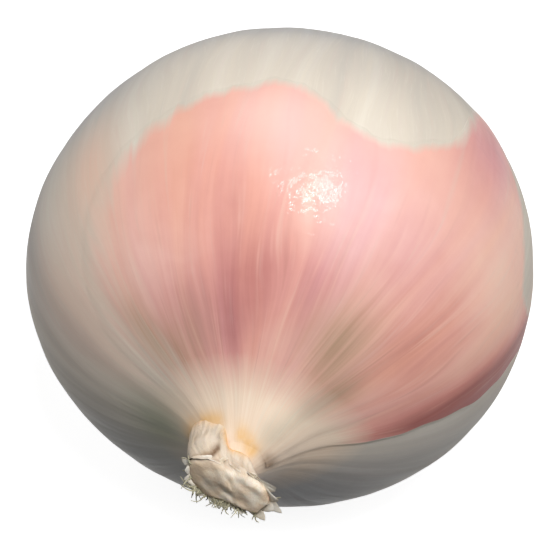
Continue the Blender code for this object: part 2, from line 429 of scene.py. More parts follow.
# Soft white lamps: name, azimuth, elevation, distance, size and power in watts
LAMPS = [
    ("key", 32, 67, 0.7, 0.22, 2.8),
    ("sparkle", 26, 63, 0.7, 0.05, 0.35),
    ("right", 75, 35, 0.8, 0.5, 1.3),
    ("front_right", 50, 50, 0.8, 0.4, 1.15),
    ("left", -60, 40, 0.8, 0.5, 1.25),
    ("left_high", -60, 62, 0.8, 0.5, 0.45),
    ("left_back", -110, 45, 0.8, 0.5, 0.5),
    ("low_right", 62, 8, 0.8, 0.4, 0.26),
    ("back", 197, 3, 0.8, 0.6, 1.35),
]

# The studio: a floor, a second one just below it that only reflections show, and a dome
FLOOR_SIZE = 6
FLOOR_GREY = (0.5, 0.5, 0.5, 1)
FLOOR_GLOW = 0.85
REFLECTED_FLOOR_DROP = 0.001
REFLECTED_FLOOR_GLOW = 0.93
BACKDROP_RADIUS = 2.9
BACKDROP_GLOW = 1.0
WHITE = (1, 1, 1, 1)
BLACK = (0, 0, 0, 1)


def smooth_curve(points, x):
    """Values at x on a smooth curve through (x, y) points, held level beyond both ends."""
    places = np.array([point[0] for point in points], float)
    values = np.array([point[1] for point in points], float)
    slopes = np.gradient(values, places)
    x = np.clip(x, places[0], places[-1])
    index = np.clip(np.searchsorted(places, x) - 1, 0, len(places) - 2)
    step = places[index + 1] - places[index]
    share = (x - places[index]) / step
    low, high = values[index], values[index + 1]
    bend_low, bend_high = slopes[index] * step, slopes[index + 1] * step
    cubic = 2 * low - 2 * high + bend_low + bend_high
    square = -3 * low + 3 * high - 2 * bend_low - bend_high
    return ((cubic * share + square) * share + bend_low) * share + low


def smooth_path(points, count):
    """A smooth path of `count` points through a few given ones of any dimension."""
    points = np.array(points, float)
    steps = np.arange(len(points))
    x = np.linspace(0, len(points) - 1, count)
    return np.stack([smooth_curve(list(zip(steps, column)), x) for column in points.T], axis=1)


def bell(offset, width):
    return np.exp(-((offset / width) ** 2))


def turn_between(first, second):
    """The smaller turn from one angle to another."""
    return (first - second + math.pi) % (2 * math.pi) - math.pi


def sector(angle, middle, half_width):
    """A bell round the axis, with its middle and its half width in degrees."""
    return bell(turn_between(angle, math.radians(middle)), math.radians(half_width))


def lobes(angle, latitude):
    """The bulb's departure from round, as a share of its radius."""
    oval = 0.017 * np.cos(2 * (angle - math.radians(42)))
    three_sided = 0.011 * np.cos(3 * angle - 1.13)
    uneven = 0.003 * np.cos(5 * angle + 2.1)
    droop = -0.0054 * np.cos(angle) * (1 - np.sin(latitude))
    return np.cos(latitude) ** 2 * (oval + three_sided + uneven + droop)


def ribs(angle, latitude):
    """Low ridges over the veins."""
    wide = np.cos(20 * angle + 0.7 * np.sin(3 * angle)) + 0.6 * np.cos(31 * angle + 1.9)
    fine = np.cos(57 * angle + 2 * np.sin(5 * angle)) + 0.8 * np.cos(83 * angle + 3 * np.sin(7 * angle))
    return (RIB_DEPTH * wide + VEIN_DEPTH * fine) * np.maximum(np.cos(latitude), 0) ** 0.5


def neck_folds(angle, radius):
    """Soft folds that run up the leaf into the neck."""
    waves = np.cos(9 * angle + 1.2) + 0.8 * np.cos(14 * angle + 2 * np.sin(2 * angle))
    waves = waves + 0.3 * np.cos(23 * angle)
    return FOLD_DEPTH * waves * bell(radius - FOLD_RADIUS, FOLD_WIDTH)


def neck_dome(angle, radius):
    """The smooth swelling of the leaf on the right of the neck's foot."""
    across = sector(angle, DOME_ANGLE, DOME_HALF_ANGLE)
    return DOME_RISE * across * bell(radius - DOME_RADIUS, DOME_WIDTH)


def bulb_surface(angle, latitude, lift=0.0):
    """Points on the bulb, or lifted off it, as an array whose last axis is x, y, z."""
    side = np.where(latitude > 0, NECK_SIDE, ROOT_SIDE)
    outward = np.cos(latitude) / BULB_RADIUS
    along = np.sin(latitude) / side
    length = np.hypot(outward, along)
    outward, along = outward / length, along / length
    radius = BULB_RADIUS * np.maximum(np.cos(latitude), 0) * (1 + lobes(angle, latitude))
    rise = side * np.sin(latitude)
    throat = THROAT_RISE * bell(radius, THROAT_WIDTH) + neck_folds(angle, radius) + neck_dome(angle, radius)
    for fillet_rise, fillet_width in NECK_FILLETS:
        throat = throat + fillet_rise * bell(radius, fillet_width)
    dimple = ROOT_DIMPLE * bell(radius, ROOT_DIMPLE_WIDTH)
    rise = rise + np.where(latitude > 0, throat, dimple)
    lift = lift + ribs(angle, latitude)
    radius = np.maximum(radius + lift * outward, 0)
    rise = rise + lift * along
    return place(angle, radius, rise)


def place(angle, radius, rise):
    """Points at an angle round the axis, a distance from it and a distance towards the neck."""
    return np.stack([radius * np.sin(angle), -rise, AXIS_HEIGHT + radius * np.cos(angle)], axis=-1)


class Parts:
    """Gathers grids and tubes of points, and makes one mesh of them."""

    def __init__(self):
        self.points = []
        self.faces = []
        self.count = 0

    def add_points(self, points):
        points = np.asarray(points, float).reshape(-1, 3)
        first = self.count
        self.points.append(points)
        self.count += len(points)
        return first

    def add_shell(self, outer, inner):
        """A thin closed shell between two grids of the same size, rows by columns."""
        rows, columns = outer.shape[:2]
        first = self.add_points(outer)
        second = self.add_points(inner)
        for row in range(rows - 1):
            for column in range(columns - 1):
                corner = row * columns + column
                quad = (corner, corner + 1, corner + columns + 1, corner + columns)
                self.faces.append(tuple(first + index for index in quad))
                self.faces.append(tuple(second + index for index in reversed(quad)))
        rim = list(range(columns))
        rim += [row * columns + columns - 1 for row in range(1, rows)]
        rim += [(rows - 1) * columns + column for column in range(columns - 2, -1, -1)]
        rim += [row * columns for row in range(rows - 2, 0, -1)]
        for here, there in zip(rim, rim[1:] + rim[:1]):
            self.faces.append((first + there, first + here, second + here, second + there))

    def add_turned(self, grid):
        """A closed body from rings of points. The first and the last ring are each filled."""
        rings, sides = grid.shape[:2]
        first = self.add_points(grid)
        for ring in range(rings - 1):
            for side in range(sides):
                following = (side + 1) % sides
                low = first + ring * sides
                high = low + sides
                self.faces.append((low + side, low + following, high + following, high + side))
        self.faces.append(tuple(first + side for side in reversed(range(sides))))
        last = first + (rings - 1) * sides
        self.faces.append(tuple(last + side for side in range(sides)))

    def add_tube(self, path, radii, sides):
        """A closed tube along a path, with a radius for each of its points."""
        along = np.gradient(path, axis=0)
        along /= np.linalg.norm(along, axis=1, keepdims=True)
        helper = np.array([0.31, 0.17, 0.94])
        first = np.cross(along, helper)
        first /= np.linalg.norm(first, axis=1, keepdims=True)
        second = np.cross(along, first)
        turns = np.arange(sides) * 2 * math.pi / sides
        ring = first[:, None] * np.cos(turns)[:, None] + second[:, None] * np.sin(turns)[:, None]
        self.add_turned(path[:, None] + ring * radii[:, None, None])

    def mesh(self, name):
        """One smooth mesh of all the closed parts, with every face turned outward."""
        mesh = bpy.data.meshes.new(name)
        mesh.from_pydata(np.concatenate(self.points).tolist(), [], self.faces)
        shape = bmesh.new()
        shape.from_mesh(mesh)
        bmesh.ops.recalc_face_normals(shape, faces=shape.faces)
        shape.to_mesh(mesh)
        shape.free()
        mesh.shade_smooth()
        mesh.set_sharp_from_angle(angle=math.radians(SHARP_ANGLE))
        return mesh


def add_object(name, mesh, material):
    made = bpy.data.objects.new(name, mesh)
    bpy.context.scene.collection.objects.link(made)
    mesh.materials.append(material)
    return made


def store(mesh, name, values, kind="FLOAT", field="value"):
    """Stores a value, or a vector, on each of the mesh's points."""
    attribute = mesh.attributes.new(name, kind, "POINT")
    attribute.data.foreach_set(field, np.asarray(values, np.float32).ravel())


def screen(red, green, blue):
    """A colour given as on a screen, 0 to 255, in the linear values that the shaders use."""
    shares = [value / 255 for value in (red, green, blue)]
    linear = [share / 12.92 if share <= 0.04045 else ((share + 0.055) / 1.055) ** 2.4 for share in shares]
    return (*linear, 1)


class Finish:
    """A material in the making. Its methods add nodes and give back their output sockets."""

    def __init__(self, name):
        self.material = bpy.data.materials.new(name)
        self.material.use_nodes = True
        self.tree = self.material.node_tree
        self.shader = self.tree.nodes["Principled BSDF"]

    def feed(self, socket, value):
        if isinstance(value, bpy.types.NodeSocket):
            self.tree.links.new(value, socket)
        else:
            socket.default_value = value

    def node(self, kind, inputs, **settings):
        node = self.tree.nodes.new(kind)
        for name, value in settings.items():
            setattr(node, name, value)
        for name, value in inputs.items():
            self.feed(node.inputs[name], value)
        return node

    def stored(self, name):
        """A value that is stored on the mesh's points."""
        return self.node("ShaderNodeAttribute", {}, attribute_name=name).outputs["Fac"]

    def stored_vector(self, name):
        return self.node("ShaderNodeAttribute", {}, attribute_name=name).outputs["Vector"]

    def place(self):
        return self.node("ShaderNodeTexCoord", {}).outputs["Object"]

    def noise(self, vector, scale, detail=2.0, roughness=0.5):
        inputs = {"Vector": vector, "Scale": scale, "Detail": detail, "Roughness": roughness}
        return self.node("ShaderNodeTexNoise", inputs).outputs["Fac"]

    def math(self, operation, *values):
        return self.node("ShaderNodeMath", dict(enumerate(values)), operation=operation).outputs[0]

    def span(self, value, low, high, new_low=0.0, new_high=1.0):
        """The value's share of low to high, held within new_low and new_high."""
        inputs = {"Value": value, "From Min": low, "From Max": high, "To Min": new_low, "To Max": new_high}
        return self.node("ShaderNodeMapRange", inputs).outputs["Result"]

    def shift(self, value, noise, amount):
        """The value with noise added that swings up to `amount` both ways."""
        return self.math("ADD", value, self.span(noise, 0.25, 0.75, -amount, amount))

    def mix(self, share, first, second):
        """The first colour where the share is 0, and the second where it is 1."""
        inputs = {0: share, 6: first, 7: second}
        return self.node("ShaderNodeMix", inputs, data_type="RGBA").outputs[2]

    def tint(self, colour, name, noise, amount, tone, low=0.0, high=1.0):
        """A tone over a colour, as strong as the value stored under a name, unsettled by noise."""
        strength = self.shift(self.stored(name), noise, amount)
        return self.mix(self.span(strength, low, high), colour, tone)

    def ramp(self, value, stops):
        """Colours along a value. A stop holds its place, red, green and blue."""
        node = self.node("ShaderNodeValToRGB", {0: value})
        elements = node.color_ramp.elements
        while len(elements) < len(stops):
            elements.new(0.5)
        for element, (stop, *colour) in zip(elements, stops):
            element.position = stop
            element.color = screen(*colour)
        return node.outputs["Color"]

    def bump(self, height, distance, normal=None):
        """Relief for the shader, on top of another relief if one is given."""
        inputs = {"Height": height, "Distance": distance, "Strength": 1.0}
        if normal is not None:
            inputs["Normal"] = normal
        return self.node("ShaderNodeBump", inputs).outputs["Normal"]

    def shade(self, **values):
        """Sets the shader's sockets. A socket's name is written with underscores for spaces."""
        for name, value in values.items():
            self.feed(self.shader.inputs[name.replace("_", " ")], value)


def flesh_colour(finish, streaks):
    """The pale, waxy flesh: rosier in places, with fine veins, and a bluish painted shade in others."""
    fine = finish.noise(streaks, 46, 3, 0.6)
    wide = finish.shift(finish.noise(streaks, 7, 3), fine, 0.07)
    colour = finish.ramp(wide, [(0.30, 212, 203, 190), (0.50, 224, 213, 197), (0.70, 233, 224, 209)])
    # Painted shade, greyish blue, where the flesh turns from the lamps
    colour = finish.tint(colour, "painted_shade", fine, 0.10, screen(152, 156, 164))
    colour = finish.tint(colour, "blush", fine, 0.10, screen(250, 202, 178))
    veins = finish.span(finish.noise(streaks, 120, 2, 0.6), 0.56, 0.74, 0, 0.14)
    return finish.mix(veins, colour, screen(246, 240, 228))


def cream_over(finish, streaks, colour):
    """The cream of the leaf round the neck, and its tints there, over another colour: a greyish green
    painted shade, amber, and a dark brown that is partly painted shade.
    """
    streaky = finish.noise(streaks, 34, 3, 0.6)
    mottled = finish.noise(finish.place(), 300, 4, 0.6)
    colour = finish.tint(colour, "cream", streaky, 0.10, cream_tone(finish, streaky), 0.05, 0.95)
    # Painted shade in a greyish green, round the neck's foot
    colour = finish.tint(colour, "green", streaky, 0.10, screen(146, 150, 128), 0.05)
    # Amber along the creases, and a dark brown in the deepest one that is partly painted shade
    for name, least, tone in (("amber", 0.35, (236, 188, 120)), ("brown", 0.5, (120, 90, 62))):
        strength = finish.math("MULTIPLY", finish.stored(name), finish.span(mottled, 0.3, 0.6, least, 1))
        colour = finish.mix(strength, colour, screen(*tone))
    return colour


def cream_tone(finish, streaky):
    return finish.mix(finish.span(streaky, 0.30, 0.70), screen(238, 213, 188), screen(246, 226, 205))


def pigment_amount(finish, streaks, broad, middle):
    """How much pigment the pink skin holds: streaky, and a little mottled."""
    fine = finish.noise(streaks, 60, 3, 0.6)
    streaky = finish.shift(0.0, broad, 0.07)
    streaky = finish.shift(streaky, middle, 0.10)
    streaky = finish.shift(streaky, fine, 0.025)
    streaky = finish.math("MULTIPLY", streaky, finish.stored("streakiness"))
    pigment = finish.math("ADD", finish.stored("pigment"), streaky)
    pigment = finish.shift(pigment, finish.noise(finish.place(), 110, 4, 0.55), 0.06)
    return finish.math("MULTIPLY", pigment, 0.7)


def pink_colour(finish, streaks):
    """Pink skin: pale peach to deep red as its pigment grows, warm or cool, with fine lines."""
    broad = finish.noise(streaks, 7, 2)
    middle = finish.noise(streaks, 19, 3, 0.55)
    pigment = pigment_amount(finish, streaks, broad, middle)
    warm = finish.ramp(pigment, WARM_PINK)
    colour = finish.tint(warm, "coolness", broad, 0.25, finish.ramp(pigment, COOL_PINK))
    for scale, first, full, strength, tone in SKIN_LINES:
        lines = finish.span(finish.noise(streaks, scale, 1), first, full, 0, strength)
        lines = finish.math("MULTIPLY", lines, finish.stored("streakiness"))
        colour = finish.mix(lines, colour, screen(*tone))
    dry = finish.math("MULTIPLY", finish.stored("dryness"), finish.span(middle, 0.3, 0.7, 0.6, 1))
    return finish.mix(dry, colour, screen(176, 147, 119))


def leaf_roughness(finish, streaks):
    """Waxy, and duller along some of the streaks."""
    return finish.span(finish.noise(streaks, 30, 2), 0.3, 0.7, 0.42, 0.56)


def leaf_bump(finish, streaks):
    """Relief of veins along the leaf, and a soft unevenness of the whole surface."""
    veins = finish.noise(streaks, 40, 3, 0.6)
    normal = finish.bump(veins, VEIN_BUMP)
    uneven = finish.noise(finish.place(), 260, 2)
    return finish.bump(uneven, FINE_BUMP, normal)


def flesh_material():
    finish = Finish("onion_flesh")
    streaks = finish.stored_vector("streaks")
    finish.shade(
        Base_Color=cream_over(finish, streaks, flesh_colour(finish, streaks)),
        Roughness=leaf_roughness(finish, streaks),
        Specular_IOR_Level=LEAF_GLOSS,
        Normal=leaf_bump(finish, streaks),
    )
    return finish.material


def skin_material():
    """Pink skin that turns into the flesh's look where its edge fades, with a thin gloss on it."""
    finish = Finish("pink_skin")
    streaks = finish.stored_vector("streaks")
    inside = finish.shift(finish.stored("inside"), finish.noise(streaks, 26, 3), 0.22)
    covered = finish.span(inside, 0.2, 0.9)
    colour = finish.mix(covered, flesh_colour(finish, streaks), pink_colour(finish, streaks))
    uneven = finish.noise(finish.place(), 300, 3, 0.45)
    finish.shade(
        Base_Color=cream_over(finish, streaks, colour),
        Roughness=leaf_roughness(finish, streaks),
        Specular_IOR_Level=LEAF_GLOSS,
        Normal=leaf_bump(finish, streaks),
        Coat_Weight=finish.math("MULTIPLY", covered, SKIN_COAT),
        Coat_Roughness=SKIN_COAT_ROUGHNESS,
        Coat_Normal=finish.bump(uneven, COAT_BUMP),
    )
    return finish.material


def leathery_end(finish, wide):
    """The neck's leathery end: pale and mottled, with a brown painted shade on its left side."""
    mottled = finish.noise(finish.place(), 330, 5, 0.65)
    colour = finish.ramp(mottled, [(0.34, 200, 172, 142), (0.48, 242, 219, 191), (0.62, 254, 244, 226)])
    # Painted shade, brown, on the end's left side
    return finish.tint(colour, "pad_painted_shade", wide, 0.2, screen(172, 148, 118))


def neck_colour(finish, wide, fine):
    """Dry leaf, cream at the foot and leathery at the end, with orange creases and a dark brown in them
    that is partly painted shade.
    """
    colour = finish.ramp(finish.shift(wide, fine, 0.25), DRY_LEAF)
    colour = finish.mix(finish.stored("foot"), colour, cream_tone(finish, fine))
    colour = finish.tint(colour, "pad", wide, 0.25, leathery_end(finish, wide))
    colour = finish.tint(colour, "orange", fine, 0.2, screen(234, 184, 116))
    # Dark brown in the creases, partly the leaf's brown and partly painted shade
    return finish.tint(colour, "brown", fine, 0.2, screen(112, 82, 54))


def neck_material():
    finish = Finish("dry_neck")
    streaks = finish.stored_vector("streaks")
    wide = finish.noise(streaks, 5, 3)
    fine = finish.noise(streaks, 28, 4, 0.65)
    relief = finish.bump(fine, FINE_BUMP)
    finish.shade(
        Base_Color=neck_colour(finish, wide, fine),
        Roughness=finish.span(fine, 0.3, 0.7, 0.60, 0.85),
        Normal=finish.bump(finish.noise(finish.place(), 900, 3), GRAIN_BUMP, relief),
        Subsurface_Weight=0.1,
        Subsurface_Radius=(1.0, 0.6, 0.3),
        Subsurface_Scale=0.0008,
    )
    return finish.material


def paper_material(name, pale, dark):
    """Dry, torn leaf edges, fibres and roots: pale and dark in small patches."""
    finish = Finish(name)
    broken = finish.noise(finish.place(), 420, 4, 0.65)
    finish.shade(
        Base_Color=finish.ramp(broken, [(0.32, *dark), (0.62, *pale)]),
        Roughness=finish.span(broken, 0.3, 0.7, 0.6, 0.9),
        Normal=finish.bump(finish.noise(finish.place(), 1600, 3), FINE_BUMP),
    )
    return finish.material


def plate_material():
    """Cork, from dark brown to tan."""
    finish = Finish("root_plate")
    corky = finish.noise(finish.place(), 700, 5, 0.7)
    finish.shade(
        Base_Color=finish.ramp(corky, [(0.30, 98, 76, 54), (0.50, 158, 130, 96), (0.70, 198, 174, 138)]),
        Roughness=finish.span(corky, 0.3, 0.7, 0.7, 0.95),
        Normal=finish.bump(corky, CORK_BUMP),
    )
    return finish.material


def patches(table, angle, latitude, column=4):
    """The sum of a table's patches at each place. `column` holds how strong a patch is."""
    total = np.zeros(np.broadcast(angle, latitude).shape)
    for row in table:
        along = bell(latitude - math.radians(row[1]), math.radians(row[3]))
        total += row[column] * sector(angle, row[0], row[2]) * along
    return total


def streak_places(angle, latitude):
    """Where streak noise is read: it changes fast round the bulb and slowly along it."""
    wavy = angle + 0.030 * np.sin(3 * latitude + 5 * angle) + 0.012 * np.sin(9 * latitude + 17 * angle)
    return np.stack([np.cos(wavy), np.sin(wavy), STREAK_SHORTNESS * latitude], axis=-1)


def store_flesh_fields(mesh, angle, latitude):
    """The values that the flesh's colour reads. The skin's does too, where it fades into it."""
    store(mesh, "streaks", streak_places(angle, latitude), "FLOAT_VECTOR", "vector")
    tints = {
        # Painted shade, greyish blue, at the flesh's rims and underneath
        "painted_shade": PAINTED_SHADE_PATCHES,
        # Painted shade, greyish green, round the neck's foot
        "green": GREEN_SHADE_PATCHES,
        "blush": BLUSH_PATCHES,
        "amber": AMBER_PATCHES,
        # Dark brown in the deepest crease, partly painted shade
        "brown": BROWN_AND_SHADE_PATCHES,
    }
    for name, table in tints.items():
        store(mesh, name, patches(table, angle, latitude))
    border = CREAM_LATITUDE - CREAM_DIP * sector(angle, CREAM_DIP_ANGLE, CREAM_DIP_HALF_ANGLE)
    store(mesh, "cream", np.clip((np.degrees(latitude) - border) / CREAM_WIDTH + 0.5, 0, 1))


def make_bulb():
    """The whole bulb, with its flesh pressed level where it lies on the surface."""
    shape = bmesh.new()
    bmesh.ops.create_uvsphere(shape, u_segments=BULB_SEGMENTS, v_segments=BULB_RINGS, radius=1)
    mesh = bpy.data.meshes.new("onion_bulb")
    shape.to_mesh(mesh)
    shape.free()
    unit = np.zeros(len(mesh.vertices) * 3, np.float32)
    mesh.vertices.foreach_get("co", unit)
    unit = unit.reshape(-1, 3).astype(float)
    angle = np.arctan2(unit[:, 0], unit[:, 1])
    even = np.arcsin(np.clip(unit[:, 2], -1, 1))
    latitude = even + RING_CROWDING * np.sin(2 * even)
    points = bulb_surface(angle, latitude)
    height = points[:, 2]
    points[:, 2] = (height + np.sqrt(height**2 + REST_SOFTNESS**2)) / 2
    mesh.vertices.foreach_set("co", points.astype(np.float32).ravel())
    mesh.update()
    mesh.shade_smooth()
    store_flesh_fields(mesh, angle, latitude)
    return add_object("onion_bulb", mesh, flesh_material())


def skin_grid():
    """Angle and latitude over the pink skin, rows by columns, and the fade width of its edge."""
    columns = np.linspace(SKIN_EDGE[0][0], SKIN_EDGE[-1][0], SKIN_COLUMNS)
    bottom = smooth_curve([(row[0], row[1]) for row in SKIN_EDGE], columns)
    fade = smooth_curve([(row[0], row[2]) for row in SKIN_EDGE], columns)
    tear = 0.30 * np.sin(0.9 * columns) + 0.15 * np.sin(2.1 * columns + 1)
    rows = np.linspace(0, 1, SKIN_ROWS)[:, None]
    latitude = bottom + tear + (SKIN_TOP_LATITUDE - bottom - tear) * rows
    right_edge = bell(columns - SKIN_EDGE[-1][0], EDGE_WAVE_WIDTH)
    wave = 0.7 * np.sin(0.21 * latitude + 1) + 0.3 * np.sin(0.6 * latitude)
    angle = columns + right_edge * wave
    return np.radians(angle), np.radians(latitude), fade


def skin_inside(points, fade):
    """How far inside the torn edge each point lies, from 0 on the edge to 1 where the fade ends."""
    rows, columns = points.shape[:2]
    edge = np.concatenate([points[0], points[:, 0], points[:, -1], points[-1]])
    ends = [np.full(rows, LEFT_FADE), np.full(rows, RIGHT_FADE), np.full(columns, TOP_FADE)]
    widths = np.concatenate([fade] + ends)
    inside = np.empty(points.shape[:2])
    for row in range(rows):
        distance = np.linalg.norm(points[row][:, None] - edge[None], axis=2)
        inside[row] = (distance / widths).min(axis=1)
    return np.clip(inside, 0, 1)


def streakiness(angle, latitude):
    """How strong the skin's streaks are: stronger towards the neck, and more so on the right."""
    right = 1 + STREAKIER_SHARE * sector(angle, STREAKIER_ANGLE, STREAKIER_HALF_ANGLE)
    return np.clip((np.degrees(latitude) - STREAKY_LATITUDE) / STREAKY_SPAN, *STREAK_STRENGTHS) * right


def store_skin_fields(mesh, angle, latitude, inside):
    """The values that only the pink skin's colour reads."""
    store(mesh, "inside", inside)
    store(mesh, "pigment", PIGMENT + patches(PIGMENT_PATCHES, angle, latitude, 4))
    store(mesh, "coolness", COOLNESS + patches(PIGMENT_PATCHES, angle, latitude, 5))
    store(mesh, "dryness", patches(DRY_PATCHES, angle, latitude))
    store(mesh, "streakiness", streakiness(angle, latitude))


def make_skin():
    """The thin pink skin, a closed shell that clings to the flesh."""
    angle, latitude, fade = skin_grid()
    inside = skin_inside(bulb_surface(angle, latitude), fade)
    reach = (angle[:, -1:] - angle) * BULB_RADIUS * np.cos(latitude)
    curling = np.clip((np.degrees(latitude) - CURL_LATITUDE) / CURL_FADE, 0, 1)
    crisp = bell(reach, EDGE_CURL_WIDTH) * curling
    whole = np.maximum(inside, crisp)
    buried = np.clip(1 - whole / BURIED_SHARE, 0, 1) ** 2
    under = SKIN_CLEARANCE + EDGE_CURL * crisp - EDGE_BURIAL * buried
    thickness = SKIN_EDGE_THICKNESS + (SKIN_THICKNESS - SKIN_EDGE_THICKNESS) * whole
    parts = Parts()
    parts.add_shell(bulb_surface(angle, latitude, under + thickness), bulb_surface(angle, latitude, under))
    mesh = parts.mesh("onion_skin")
    both_sides = [np.concatenate([values.ravel()] * 2) for values in (angle, latitude, inside)]
    store_flesh_fields(mesh, *both_sides[:2])
    store_skin_fields(mesh, *both_sides)
    return add_object("onion_skin", mesh, skin_material())


def turned_grid(profile, rows, segments, sense):
    """Angle, radius and height over a turned body, rows by segments."""
    outline = smooth_path(profile, rows)
    turns = sense * np.arange(segments) * 2 * math.pi / segments
    angle, radius = np.meshgrid(turns, outline[:, 0])
    return angle, radius, np.repeat(outline[:, 1:2], segments, axis=1)


def neck_place(angle, radius, height):
    """A point of the neck, which bows aside and has pleats and a slanting end."""
    share = np.clip(height / NECK_LENGTH, 0, 1)
    flatness = 1 + NECK_FLATNESS * share * np.cos(2 * (angle - math.radians(END_WIDE_ANGLE)))
    pleats = 0.030 * np.cos(7 * angle + 2.5 * share) + 0.020 * np.cos(11 * angle)
    fine = 0.004 * np.cos(29 * angle + 6 * share) + 0.003 * np.cos(43 * angle - 5 * share)
    pleats = (pleats * share + fine) * np.clip(radius / 0.004, 0, 1)
    radius = radius * flatness * (1 + pleats)
    slant = share**3 * radius * (END_SLANT_SIDE * np.sin(angle) - END_SLANT_UP * np.cos(angle))
    points = place(angle, radius, NECK_FOOT + height + slant)
    points[..., 0] -= NECK_LEAN * np.sin(math.pi * share)
    points[..., 2] += NECK_LIFT * share**2
    return points


def nearness(path, angle, height, width):
    """1 on a path over the neck, falling to 0 about a width away from it."""
    nearest = np.full(angle.shape, np.inf)
    for corner_angle, corner_height in smooth_path(path, 40):
        turn = turn_between(angle, math.radians(corner_angle)) * NECK_MIDDLE_RADIUS
        nearest = np.minimum(nearest, turn**2 + (height - corner_height) ** 2)
    return np.exp(-nearest / width**2)


def neck_swell(angle, height):
    """How far the neck's folds, creases and ridges swell it, before they fade towards its end."""
    swell = np.zeros(angle.shape)
    for lump_angle, lump_height, half_angle, half_height, rise in NECK_LUMPS:
        swell += rise * sector(angle, lump_angle, half_angle) * bell(height - lump_height, half_height)
    for path, depth, width, _ in NECK_CREASES:
        swell -= depth * nearness(path, angle, height, width)
    for path, rise, width in NECK_RIDGES:
        swell += rise * nearness(path, angle, height, width)
    return swell


def crease_tints(angle, height):
    """How orange the neck is in and beside its creases, and how dark brown in them, which is partly painted
    shade.
    """
    orange = np.zeros(angle.shape)
    brown = np.zeros(angle.shape)
    for path, _, width, tint in NECK_CREASES:
        orange = np.maximum(orange, tint * nearness(path, angle, height, width * 2))
        brown = np.maximum(brown, (1 - tint) * nearness(path, angle, height, width))
    return orange, brown


def end_dents(across, up):
    """Uneven dents of the leathery end, at a place to the right of its middle and above it."""
    broad = 0.00013 * np.sin(900 * across + 500 * up + 1 + np.sin(1100 * up))
    slanting = 0.00010 * np.sin(1500 * up - 800 * across + 1.5 * np.sin(700 * across))
    fine = 0.00006 * np.sin(3100 * across + 1900 * up + 2)
    return broad + slanting + fine


def make_neck():
    """The dry, trimmed neck: folds of leaf, the creases between them and the leathery end."""
    angle, radius, height = turned_grid(NECK_PROFILE, NECK_ROWS, NECK_SEGMENTS, 1)
    on_side = np.clip(radius / NECK_FULL_RADIUS, 0, 1) ** 4
    radius = radius + neck_swell(angle, height) * on_side
    across, up = radius * np.sin(angle), radius * np.cos(angle)
    on_end = np.clip((height - DENTS_START) / DENTS_RISE, 0, 1) * np.clip(1.2 - radius / DENTS_RADIUS, 0, 1)
    parts = Parts()
    parts.add_turned(neck_place(angle, radius, height + end_dents(across, up) * on_end))
    mesh = parts.mesh("onion_neck")
    orange, brown = crease_tints(angle, height)
    streaks = [NECK_FINENESS * up, NECK_FINENESS * across, NECK_SHORTNESS * height]
    store(mesh, "streaks", np.stack(streaks, axis=-1), "FLOAT_VECTOR", "vector")
    store(mesh, "orange", orange)
    # Dark brown in the creases, partly painted shade
    store(mesh, "brown", brown)
    store(mesh, "pad", np.clip((height - PAD_START) / PAD_RISE, 0, 1) * PAD_STRENGTH)
    least, most = PAD_SHADE_LEVELS
    # Painted shade on the end, growing towards the left
    store(mesh, "pad_painted_shade", np.clip(least - across / PAD_SHADE_REACH, 0, most))
    store(mesh, "foot", np.clip((FOOT_END - height) / FOOT_FADE, 0, 1))
    return add_object("onion_neck", mesh, neck_material())


def neck_radius(height):
    """The radius of the neck's plain profile at a height below its end."""
    side = [(rise, radius) for radius, rise in NECK_PROFILE[:NECK_SIDE_POINTS]]
    return smooth_curve(side, height)


def add_collar(parts, first_angle, last_angle, root, tip, stand, draw):
    """A torn sheet of dry leaf that lies round the neck, with a ragged edge that stands off."""
    share = np.linspace(0, 1, last_angle - first_angle)[None]
    along = np.linspace(0, 1, COLLAR_ROWS)[:, None]
    phase = draw.uniform(0, 6)
    ragged = 0.5 * np.sin(9 * share + phase) + 0.3 * np.sin(23 * share + 2 * phase)
    ragged = ragged + 0.2 * np.abs(np.sin(34 * share + phase))
    narrowing = np.sin(math.pi * np.clip(share, 0.02, 0.98)) ** 0.4
    length = (tip - root) * narrowing * (1 + 0.22 * ragged)
    height = root + length * along
    around = np.radians(first_angle + (last_angle - first_angle) * share) + 0 * along
    wave = 1 + 0.5 * np.sin(13 * share + phase)
    lift = stand * along**1.5 * wave * narrowing + COLLAR_FLARE * along
    radius = neck_radius(height) - COLLAR_BURIAL + lift
    outer = neck_place(around, radius, height)
    inner = neck_place(around, radius - COLLAR_THICKNESS, height)
    parts.add_shell(outer, inner)


def add_tooth(parts, angle, height, length, width, draw):
    """One torn tooth of dry leaf that stands off the neck's end and curls."""
    along = np.linspace(0, 1, TOOTH_ROWS)[:, None]
    across = np.linspace(-1, 1, TOOTH_COLUMNS)[None]
    narrowing = (1 - along) ** 0.6 * (1 + 0.25 * np.sin(5 * along + draw.uniform(0, 6)))
    bend = draw.uniform(0.2, 0.9)
    half_turn = width / 2 / TOOTH_MIDDLE_RADIUS
    around = math.radians(angle) + half_turn * across * narrowing + draw.uniform(-0.12, 0.12) * along
    curl = TOOTH_FLARE * along + bend * length * along**2
    radius = TOOTH_FOOT_RADIUS + curl + TOOTH_HOLLOW * across**2
    rise = height + length * along * (1 - 0.3 * along)
    outer = neck_place(around, radius, rise + 0 * across)
    inner = neck_place(around, radius - COLLAR_THICKNESS, rise + 0 * across)
    parts.add_shell(outer, inner)


def make_teeth():
    """The torn sheets and teeth of dry leaf round the neck."""
    draw = random.Random(4)
    parts = Parts()
    for first_angle, last_angle, root, tip, stand in COLLARS:
        add_collar(parts, first_angle, last_angle, root, tip, stand, draw)
    for angle, height, length, width in TEETH:
        add_tooth(parts, angle, height, length, width, draw)
    material = paper_material("torn_leaf", (250, 244, 232), (216, 200, 174))
    return add_object("neck_teeth", parts.mesh("neck_teeth"), material)


